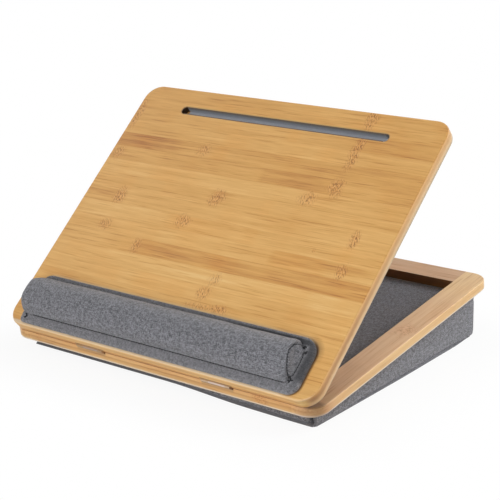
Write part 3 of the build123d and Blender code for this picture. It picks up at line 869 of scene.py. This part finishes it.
def under_board(y):
    """The height of the floor board's underside."""
    return AXIS_Z + (y - AXIS_Y) * math.tan(TILT) + BOARD_BOTTOM / math.cos(TILT)


def cushion_form():
    """Rings from the rounded bottom edge up to the board."""
    bottom_round = 2
    levels = []
    for turn in np.linspace(0, math.pi / 2, 5):
        inset = SHRINK + bottom_round * (1 - math.sin(turn))
        levels.append((inset, 0.15 + bottom_round * (1 - math.cos(turn)), 0.0))
    levels += [(SHRINK, bottom_round, share) for share in (0.35, 0.7, 1.0)]
    rings = []
    for inset, low, share in levels:
        radii = [WEDGE_CORNER - inset / 2] * 4
        outline = rounded_outline(WEDGE_X - inset, WEDGE_Y - inset, radii)
        ring = [(x, y + WEDGE_MID) for x, y in outline]
        rings.append([(x, y, low + (under_board(y) - SHRINK - low) * share) for x, y in ring])
    return loft(rings)


def cushion_hold(points):
    """The cushion is held at its top, its foot and its corners."""
    x, y, z = points.T
    past_x = np.abs(x) - (WEDGE_X - 2)
    past_y = np.abs(y - WEDGE_MID) - (WEDGE_Y - 2)
    below = under_board(y) - z
    return 1.0 * ((below < 3.5) | (z < 1.2) | (np.hypot(past_x, past_y) < 6))


def fill_out(points):
    """Moves what the smoothing drew in back to a box with a small round."""
    radius = 1.8
    x, y, z = points[:, 0], points[:, 1] - WEDGE_MID, points[:, 2]
    past_x = np.abs(x) - (WEDGE_X + 0.5 - radius)
    past_y = np.abs(y) - (WEDGE_Y + 0.5 - radius)
    outward = np.maximum(np.stack([past_x, past_y, radius - z], 1), 0)
    length = np.linalg.norm(outward, axis=1)
    short = np.where(length > 1e-4, np.maximum(radius - length, 0), 0)
    signs = np.stack([np.sign(x), np.sign(y), -np.ones(len(x))], 1)
    way = outward / np.maximum(length, 1e-4)[:, None] * signs
    side = np.where(under_board(points[:, 1]) - z > 0.2, 1.0, 0.0)
    return points + times(way, short * side)


def spread_foot(points, top):
    """Widens the cushion's foot, most at the front and the right, to a crisp edge."""
    ahead = 1 - 0.8 * fade(points[:, 1], WEDGE_REAR - 60, WEDGE_REAR - 10)
    low = fade(points[:, 2], 3, 0.5)
    for axis, middle, half in WEDGE_SPANS:
        off = points[:, axis] - middle
        rim = fade(np.abs(off), half - 12, half - 4)
        points[:, axis] += np.sign(off) * 3.4 * rim * low * ahead
    filled = fill_out(points)
    low = filled[:, 2] < 0.8
    for axis, middle, half in WEDGE_SPANS:
        off = filled[:, axis] - middle
        share = fade(np.abs(off), half - 4.5, half - 2.4) * low * ahead
        filled[:, axis] += np.sign(off) * np.maximum(half - np.abs(off), 0) * share
    x, y, z = filled.T
    low = np.clip(1 - z / np.maximum(top, 1e-3), 0, 1)
    rightmost = fade(x, WEDGE_X - 25, WEDGE_X - 2)
    foremost = fade(y, WEDGE_FRONT + 25, WEDGE_FRONT + 2)
    to_rear = fade(y, -20, 170)
    to_right = fade(x, 20, 200)
    filled[:, 0] += 3.3 * rightmost * low * (1 - 0.75 * to_rear)
    filled[:, 1] -= 3.6 * foremost * low * to_right
    return filled


def corner_seams_and_shade(x, y, normals, side):
    """Upright seams by the corners, with an open slit at the front right; the slit and the cloth beside it
    are darkened with painted shade.
    """
    seam = np.zeros(len(x))
    inset = 1.6
    for sx in (-1, 1):
        for sy in (-1, 1):
            off_x = x - sx * (WEDGE_X - inset)
            off_y = y - (WEDGE_MID + sy * (WEDGE_Y - inset))
            across = np.abs(off_x * sy - off_y * sx) / math.sqrt(2)
            near = np.where(np.hypot(off_x, off_y) < 9, fade(across, 2.6, 0.6), 0)
            seam = np.maximum(seam, near * side * 0.45)
    inward = WEDGE_X - inset - x
    in_front = (normals[:, 1] < -0.5) & (y < WEDGE_FRONT + 8)
    # Painted shade in the slit and on the cloth beside it.
    slit = 1.15 * fade(inward, 0.2, 1.4) * fade(inward, 4.6, 3.2)
    shade = 0.75 * fade(inward, 1, 2) * fade(inward, 9, 3.2)
    return np.maximum(seam, np.where(in_front, np.maximum(slit, shade), 0))


def dress_cushion():
    """Soft hollows, seams at the corners, and the lift of the front left edge; painted shade at its foot, in
    and by the slit, and on the front left.
    """
    points = points_in(WORLD, cushion)
    normals = vectors_of(cushion.data, "normal")
    top = under_board(points[:, 1])
    side = fade(np.abs(normals[:, 2]), 0.9, 0.55)
    dents = waves(points, 95, 2.0) * 0.35 + waves(points, 38, 5.0) * 0.12
    below = fade(top - points[:, 2], 1, 14)
    points += times(normals, dents * side * below)
    spread = spread_foot(points, top)
    x, y, z = points.T
    seam = corner_seams_and_shade(x, y, normals, side)
    # Painted shade in the crease along the cushion's foot.
    foot = np.where(side > 0.2, fade(np.abs(z - 1.2), 1.5, 0.2), 0)
    points = spread - times(normals, seam * 0.8)
    x, y, z = points.T
    left = fade(-x, -120, 0)
    fore = fade(y, WEDGE_FRONT + 90, WEDGE_FRONT + 6)
    reach = np.clip(1 - z / np.maximum(top, 1e-3), 0, 1)
    points[:, 2] = np.clip(z + 3.3 * left * fore * reach, 0.0, under_board(y) - 0.05)
    set_points(WORLD, cushion, points)
    in_shadow = 0.5 * (normals[:, 1] < -0.5) * fade(x, 60, -60)
    set_attribute(cushion, "seam", np.clip(np.maximum(seam + foot * 0.25, in_shadow), 0, 1.15))
    flat = np.abs(normals[:, 2]) > 0.775
    facing_x = np.abs(normals[:, 0]) > np.abs(normals[:, 1])
    around = np.where(facing_x, y * np.sign(x), -x * np.sign(y - WEDGE_MID))
    set_attribute(cushion, "weave", np.stack([np.where(flat, x, around), np.where(flat, y, z), 0 * x], 1))


cushion = piece("wedge_cushion", cushion_form(), heather, "tray", WORLD)
modify(cushion, "REMESH", mode="VOXEL", voxel_size=4.5 * MM)
points = points_in(WORLD, cushion)
for axis, middle, half in WEDGE_SPANS:
    off = points[:, axis] - middle
    points[:, axis] = middle + off * (half - SHRINK) / np.abs(off).max()
set_points(WORLD, cushion, points)
swell(cushion, cushion_hold(points), np.full(len(points), 1.8))
modify(cushion, "SUBSURF", levels=1, render_levels=1)
dress_cushion()
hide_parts("cushion_cover", "cushion_core")

# ---- Floor lining ----

LINING_WIDTH = 383.4
LINING_DEPTH = 306.4
LINING_MID = DESK_DEPTH / 2 - INSET


def lining_form():
    """A thin sheet with small rises, its edges turned down against the rails."""
    across, along = 120, 96
    x, y = np.meshgrid(np.linspace(-0.5, 0.5, across + 1), np.linspace(-0.5, 0.5, along + 1))
    x, y = x.ravel() * LINING_WIDTH, y.ravel() * LINING_DEPTH
    edge = np.minimum(LINING_WIDTH / 2 - abs(x), LINING_DEPTH / 2 - abs(y))
    soft = 1 - np.exp(-edge / 1.2)
    rise = 0.06 * np.sin(x * 0.061 + 1.3 * np.sin(y * 0.037)) * np.sin(y * 0.047 + 0.8)
    top = LINING_TOP - 0.03 - 0.25 * (1 - soft) + rise * soft
    points = [*zip(x, y + LINING_MID, top), *zip(x, y + LINING_MID, 0 * x + RAIL_BOTTOM + 0.02)]
    faces = []
    row = across + 1
    size = row * (along + 1)
    for j in range(along):
        for i in range(across):
            a = j * row + i
            faces.append((a, a + 1, a + row + 1, a + row))
            faces.append((size + a, size + a + row, size + a + row + 1, size + a + 1))
    rim = [*range(across), *range(across, size - 1, row)]
    rim += [*range(size - 1, along * row, -1), *range(along * row, 0, -row)]
    for a, b in zip(rim, rim[1:] + rim[:1]):
        faces.append((a, size + a, size + b, b))
    return points, faces


lining = piece("tray_lining", lining_form(), lining_cloth, "tray", TRAY)
set_attribute(lining, "weave", points_in(TRAY, lining) * np.array([1, 1, 0]))
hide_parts("floor_lining")

# ---- Wrist pad ----

PAD_FORWARD = 1.4
SEAM_Y = 13.4 - INSET
# The pad's edge, as (inset, height) in millimetres from its foot up and inwards.
PAD_EDGE = [
    (0.9, 0.1), (0.25, 0.5), (0.0, 1.4), (0.0, 2.4), (0.25, 3.3), (0.8, 3.95), (1.6, 4.35), (2.6, 4.5),
    (4.2, 4.5), (6.0, 4.4), (7.6, 4.2), (9.2, 4.05), (10.6, 3.9), (12.0, 3.85), (15.0, 3.8), (20.0, 3.8),
]


def pad_form():
    """The covered base: a soft rounded edge and a slightly raised border."""
    rings = []
    for inset, height in PAD_EDGE:
        radii = [max(full - inset * 0.8, 2) for full in (PAD_REAR_RIGHT, PAD_CORNER, 6, PAD_CORNER)]
        half_y = (PAD_DEPTH + PAD_FORWARD) / 2 - inset
        outline = rounded_outline(PAD_LENGTH / 2 - inset, half_y, radii, 14, 60)
        rings.append([(x, y + PAD_MID_Y - PAD_FORWARD / 2, LID_TOP + height) for x, y in outline])
    return loft(rings)


pad = piece("wrist_pad_border", pad_form(), border_cloth, "lid", LID)
points = points_in(LID, pad)
rise = waves(points, 46, 1.0) * 0.10 + waves(points, 17, 4.0) * 0.05
raised = fade(points[:, 2], LID_TOP + 2.5, LID_TOP + 4)
to_roll = np.maximum(SEAM_Y - points[:, 1], 0)
points[:, 2] += (rise + 1.1 * np.exp(-to_roll / 2.2)) * raised
set_points(LID, pad, points)
x, y, z = points.T
# Painted shade on the base's right and rear borders, and a painted shadow line behind the roll, held in the
# seam attribute.
right_border_shade = fade(x, 190, 196) * (0.25 + 0.75 * fade(y, 12, 24))
rear_border_shade = fade(y, PAD_MID_Y + 26, PAD_MID_Y + 30)
shadow_behind_roll = fade(y, 60, 61.5) * fade(y, 68, 66)
shadow_behind_roll *= fade(x, 20, 150)
set_attribute(pad, "seam", np.maximum.reduce([0.9 * right_border_shade, 0.3 * rear_border_shade, 0.95 * shadow_behind_roll]))
set_attribute(pad, "weave", points @ np.array([[0.92, 0.39, 0], [-0.39, 0.92, 0], [0.4, 0.4, 0]]))
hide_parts("wrist_pad_base")

# ---- Wrist roll ----

ROLL_MID_Y = 37.6
ROLL_HALF_Y = 24.8
ROLL_HEIGHT = 24
ROLL_END = 190
ROLL_DRAWN_IN = 5.5
SQUARER = 0.95
LEFT_BULGE = 17.5


def end_round(x):
    """0 along the roll, rising like a quarter circle to 1 at its ends."""
    share = np.clip((np.abs(x) - ROLL_END + 8) / 8, 0, 1)
    return 1 - np.sqrt(1 - share * share)


def arc_height(x):
    """The roll's height, a little less towards its ends."""
    return ROLL_HEIGHT - 1.0 * fade(np.abs(x), 120, 190) - 2.2 * end_round(x)


def arc_half(x):
    """The roll's half width, drawn in at its ends."""
    return ROLL_HALF_Y - ROLL_DRAWN_IN * end_round(x)


def arch(half, high, steps):
    """Points (y, z) of a squarish half ellipse from the front over to the rear."""
    spots = []
    for turn in np.linspace(0, math.pi, steps + 1):
        c, s = math.cos(turn), math.sin(turn)
        spots.append((ROLL_MID_Y - half * math.copysign(abs(c) ** SQUARER, c), high * abs(s) ** SQUARER))
    return spots


def roll_section(x):
    """A half ellipse over the roll, closed along its base."""
    ease, base = 0.2, PAD_TOP - 0.8
    half = float(arc_half(x)) + ease
    ring = [(x, y, base + z) for y, z in arch(half, float(arc_height(x)) + ease, 28)]
    return ring + [(x, ROLL_MID_Y + half - 2 * half * n / 8, base) for n in range(1, 8)]


def roll_form():
    tips = [1, 0.996, 0.988, 0.975]
    stations = [-tip for tip in tips] + list(np.linspace(-0.96, 0.96, 39)) + tips[::-1]
    return loft([roll_section(share * ROLL_END) for share in stations])


def lean_end(points):
    """Draws the roll's right end in towards its top rear, where the cover is pulled tight."""
    x, y, z = points.T
    share = fade(x, ROLL_END - 22, ROLL_END - 1)
    top = fade(y, 22, 50) * fade(z, PAD_TOP + 1, PAD_TOP + 13)
    back = np.maximum(top, fade(y, 50, 57))
    leant = points.copy()
    leant[:, 0] -= share * back * 5.5
    leant[:, 1] += share * np.maximum(y - ROLL_MID_Y, 0) * 0.07
    return leant


def end_outline():
    """The seam round the right end panel, as points in the lid's plane."""
    over = arch(float(arc_half(ROLL_END)), float(arc_height(ROLL_END)), 44)
    return lean_end(np.array([(ROLL_END, y, PAD_TOP - 0.4 + z) for y, z in over]))


def end_foot():
    """Where the right end panel meets the base: a line that bows outwards."""
    half = float(arc_half(ROLL_END)) - 1.5
    line = []
    for share in np.linspace(-1, 1, 31):
        bow = 1.6 * (1 - share * share)
        line.append((ROLL_END + bow, ROLL_MID_Y + half * share, PAD_TOP + 0.6))
    return np.array(line)


def nearest(points, outline):
    """Distance from each point to a line of points."""
    best = np.full(len(points), np.inf)
    for a, b in zip(outline[:-1], outline[1:]):
        run = b - a
        share = np.clip((points - a) @ run / (run @ run), 0, 1)
        best = np.minimum(best, np.linalg.norm(points - (a + share[:, None] * run), axis=1))
    return best


def bulge_ends(points):
    """Domes the right end panel and fills out the left end; moves the points themselves."""
    x, y, z = points.T
    lift = np.maximum(z - PAD_TOP, 0)
    inside = 1 - ((y - ROLL_MID_Y) / arc_half(x)) ** 2 - (lift / arc_height(x)) ** 2
    dome = np.sqrt(np.clip(inside, 0, 1))
    points[:, 0] += 2.2 * dome * fade(x, ROLL_END - 14, ROLL_END - 1)
    domed = np.sqrt(np.clip(1 - (lift / 25) ** 2, 0, 1)) * (0.86 + 0.14 * fade(lift, 0, 4))
    in_plan = 0.52 + 0.48 * fade(y, 14, 33) - 0.5 * fade(y, 50, 63)
    near_end = fade(-x, ROLL_END - 26, ROLL_END - 1)
    drawn = 1 - end_round(x) * ROLL_DRAWN_IN / ROLL_HALF_Y
    front_left = (x < 0) & (y < ROLL_MID_Y)
    points[:, 1] = ROLL_MID_Y + (y - ROLL_MID_Y) * np.where(front_left, 1 / drawn, 1)
    points[:, 0] -= LEFT_BULGE * domed * in_plan * near_end


def dress_roll():
    """Full ends, soft hollows, puckers by the seams, and the pinched corners; painted shade in the pinches,
    along the foot and on the right end panel.
    """
    drawn = points_in(LID, roll)
    normals = vectors_of(roll.data, "normal") @ np.array(LID)[:3, :3]
    bulge_ends(drawn)
    x, y, z = drawn.T
    points = lean_end(drawn)
    dents = waves(points, 80, 3.0) * 0.3 + waves(points, 26, 8.0) * 0.12
    points += times(normals, dents * fade(z, PAD_TOP + 1, PAD_TOP + 6))
    outline, foot_line = end_outline(), end_foot()
    gap = nearest(points, outline)
    groove = fade(gap, 1.9, 0.2)
    pucker = np.sin((y + z) / 4.5 * 2 * math.pi) * fade(gap, 8, 1)
    points += times(normals, pucker * 0.22 - groove * 0.9)
    by_foot = fade(nearest(points, foot_line), 1.5, 0.3)
    seam = np.maximum(groove * 0.6, 0.8 * by_foot)
    # Pinched corners, pulled in and darkened with painted shade.
    for spot, deep, reach in ((outline[1], 2.6, 3.9), (outline[-2], 2.6, 3.4), (foot_line[-5], 1.6, 2.8)):
        away = np.linalg.norm(points - spot, axis=1)
        pull = fade(away, reach * 1.6, 0.3)
        inward = np.array([ROLL_END - 9, ROLL_MID_Y, PAD_TOP + 3]) - points
        inward /= np.linalg.norm(inward, axis=1, keepdims=True)
        points += times(inward, pull * deep)
        seam = np.maximum(seam, fade(away, reach, 0.8))
    set_points(LID, roll, points)
    # Painted shade along the foot, most at the rear, and on the right end panel.
    rear = fade(y, ROLL_MID_Y + 15, ROLL_MID_Y + 24)
    foot = fade(z, PAD_TOP + 1.4, PAD_TOP - 0.2) * (0.4 + 0.5 * rear)
    panel = 0.40 * fade(normals[:, 0], 0.5, 0.75)
    set_attribute(roll, "seam", np.clip(np.maximum.reduce([seam, foot, panel]), 0, 1))
    wrap = np.arctan2(z - PAD_TOP, ROLL_MID_Y - y) * 25
    end = np.abs(normals[:, 0]) > 0.72
    set_attribute(roll, "weave", np.stack([np.where(end, y, x), np.where(end, z, wrap), 0 * x], 1))


def roll_hold(points):
    """The roll is held at its foot and, less firmly, round its ends; how far it may swell."""
    x, y, z = points.T
    at_end = np.abs(np.abs(x) - ROLL_END) < 3
    lift = z - PAD_TOP
    shell = np.hypot((y - ROLL_MID_Y) / ROLL_HALF_Y, np.maximum(lift, 0) / arc_height(x))
    held = np.maximum(1.0 * (lift < 1.2), 0.9 * (at_end & (shell > 0.6)))
    return held, np.where(at_end, 3, 1.4)


roll = piece("wrist_roll", roll_form(), heather, "lid", LID)
modify(roll, "REMESH", mode="VOXEL", voxel_size=4 * MM)
swell(roll, *roll_hold(points_in(LID, roll)))
modify(roll, "SUBSURF", levels=2, render_levels=2)
dress_roll()
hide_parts("wrist_roll_cover", "wrist_roll_core")

# ---- Threads and folds on the roll and its base ----


def laid_on_roll(line):
    """A line moved to the nearest points of the roll, with the way out there."""
    vertices = [tuple(p) for p in points_in(LID, roll)]
    tree = BVHTree.FromPolygons(vertices, [tuple(face.vertices) for face in roll.data.polygons])
    return [tree.find_nearest(Vector(point))[:2] for point in line]


def corner_fold():
    """The small hooked fold in the base's cover at its front left corner."""
    line = []
    for turn in np.radians(np.linspace(-125, 125, 15)):
        x, y = -195.4 + 1.9 * math.cos(turn), 10.4 + 2.3 * math.sin(turn)
        line.append((x, y, PAD_TOP + 0.5))
    return tube(line, 0.95, 8)


def star(x, y, lift, ways, length):
    """Short folds that meet at a point."""
    centre = np.array((x, y, PAD_TOP + lift))
    folds = []
    for way in ways:
        turn = math.radians(way)
        step = np.array((math.cos(turn), math.sin(turn), 0.0)) * length / 3
        folds.append(tube([centre + step * n for n in range(4)], 0.8))
    return folds


def sewn(name, threads):
    piece(name, joined(threads), dark_thread, "lid", LID)


front_seam = [(x, SEAM_Y - 0.2, PAD_TOP + 0.8) for x in np.linspace(-185, 189, 121)]
end_folds = star(190.8, 17.4, 0.7, (20, 110, 200, 245), 3.4)
end_folds += star(187.6, 59.4, 1.4, (250, 285, 330), 3.4)
end_folds += star(193.0, 54.2, 0.9, (235, 262), 4.2)
end_threads = []
for line in (end_outline(), end_foot()):
    end_threads += stitches(laid_on_roll(line[2:-2]), 2.6, 0.5, 0.5, 0.12)
sewn("wrist_seam_stitches", stitches(laid_on_roll(front_seam), 3.4, 0.4, 0.65, 0.05))
sewn("corner_fold", [corner_fold()])
sewn("wrist_end_folds", end_folds)
sewn("wrist_end_stitches", end_threads)

# ---- Floor, light and camera ----

WHITE = grey(1.0)
CAMERA_PLACE = (0.988467, -1.284699, 0.595756)
CAMERA_AZIMUTH, CAMERA_ELEVATION, CAMERA_ROLL = np.radians((37.533, 16.4096, -0.613))
CAMERA_LENS = 101.425
MIDDLE = Vector((0.0, 0.0, 0.1))


def seen_directly(nodes):
    """1 for what the camera sees, straight or in gloss or glass."""
    paths = nodes.tree.nodes.new("ShaderNodeLightPath").outputs
    kinds = ("Is Camera Ray", "Is Glossy Ray", "Is Transmission Ray")
    return reduce(Value.at_least, [Value(nodes, paths[kind]) for kind in kinds])


def make_floor():
    """A floor that is white to the camera, a little less so in the shadow by the object."""
    half = 9.0
    corners = [(-half, -half, 0), (half, -half, 0), (half, half, 0), (-half, half, 0)]
    mesh = bpy.data.meshes.new("floor")
    mesh.from_pydata(corners, [], [(0, 1, 2, 3)])
    floor = bpy.data.objects.new("floor", mesh)
    floor.location.z = -0.05 * MM
    scene.collection.objects.link(floor)
    f = Finish("floor_white", Roughness=0.9, Base_Color=grey(0.86), Specular_IOR_Level=0.0)
    x, y, _ = f.split(f.spot())
    away = f.length(f.join((abs(x) - 0.19).at_least(0.0), (abs(y) - 0.15).at_least(0.0)))
    share = away.span(0.01, 0.16, 0.92, 1.0, smooth=True) * seen_directly(f)
    blend = f.add("MixShader", share, Value(f, f.shader.outputs[0]), f.add("Emission", WHITE, 1.0))
    f.put(f.tree.nodes["Material Output"].inputs["Surface"], blend)
    mesh.materials.append(f.material)


def make_world(level):
    """White to the camera, and an even light of that level on the object."""
    world = bpy.data.worlds.new("studio")
    world.use_nodes = True
    world.node_tree.nodes.remove(world.node_tree.nodes["Background"])
    nodes = Nodes(world.node_tree)
    lit, shown = (nodes.add("Background", WHITE, strength) for strength in (level, 1.0))
    blend = nodes.add("MixShader", seen_directly(nodes), lit, shown)
    nodes.put(nodes.tree.nodes["World Output"].inputs["Surface"], blend)
    scene.world = world


def area_light(name, place, size, power):
    """A white rectangle of light, aimed at the object."""
    lamp = bpy.data.lights.new(name, "AREA")
    lamp.shape = "RECTANGLE"
    lamp.size, lamp.size_y = size
    lamp.energy = power
    thing = bpy.data.objects.new(name, lamp)
    thing.location = place
    thing.rotation_euler = (MIDDLE - Vector(place)).to_track_quat("-Z", "Y").to_euler()
    scene.collection.objects.link(thing)


def make_camera():
    """The photograph's viewpoint."""
    turn = Matrix.Rotation(CAMERA_AZIMUTH, 4, "Z")
    turn @= Matrix.Rotation(math.pi / 2 - CAMERA_ELEVATION, 4, "X")
    turn @= Matrix.Rotation(CAMERA_ROLL, 4, "Z")
    data = bpy.data.cameras.new("camera")
    data.sensor_width = 36.0
    data.lens = CAMERA_LENS
    data.clip_end = 60.0
    camera = bpy.data.objects.new("camera", data)
    camera.matrix_world = Matrix.Translation(CAMERA_PLACE) @ turn
    scene.collection.objects.link(camera)
    scene.camera = camera


make_floor()
make_world(0.14)
area_light("top_front", (0.2, -1.6, 2.2), (1.4, 1.4), 14)
area_light("right", (2.3, 0.2, 0.8), (1.2, 1.0), 10)
area_light("right_rear", (1.6, 1.5, 1.7), (1.2, 1.2), 42)
area_light("front_low", (0.4, -2.5, 0.5), (1.2, 0.8), 27)
area_light("left", (-2.2, 0.3, 1.4), (1.2, 1.2), 6)
make_camera()
scene.view_settings.view_transform = "Standard"
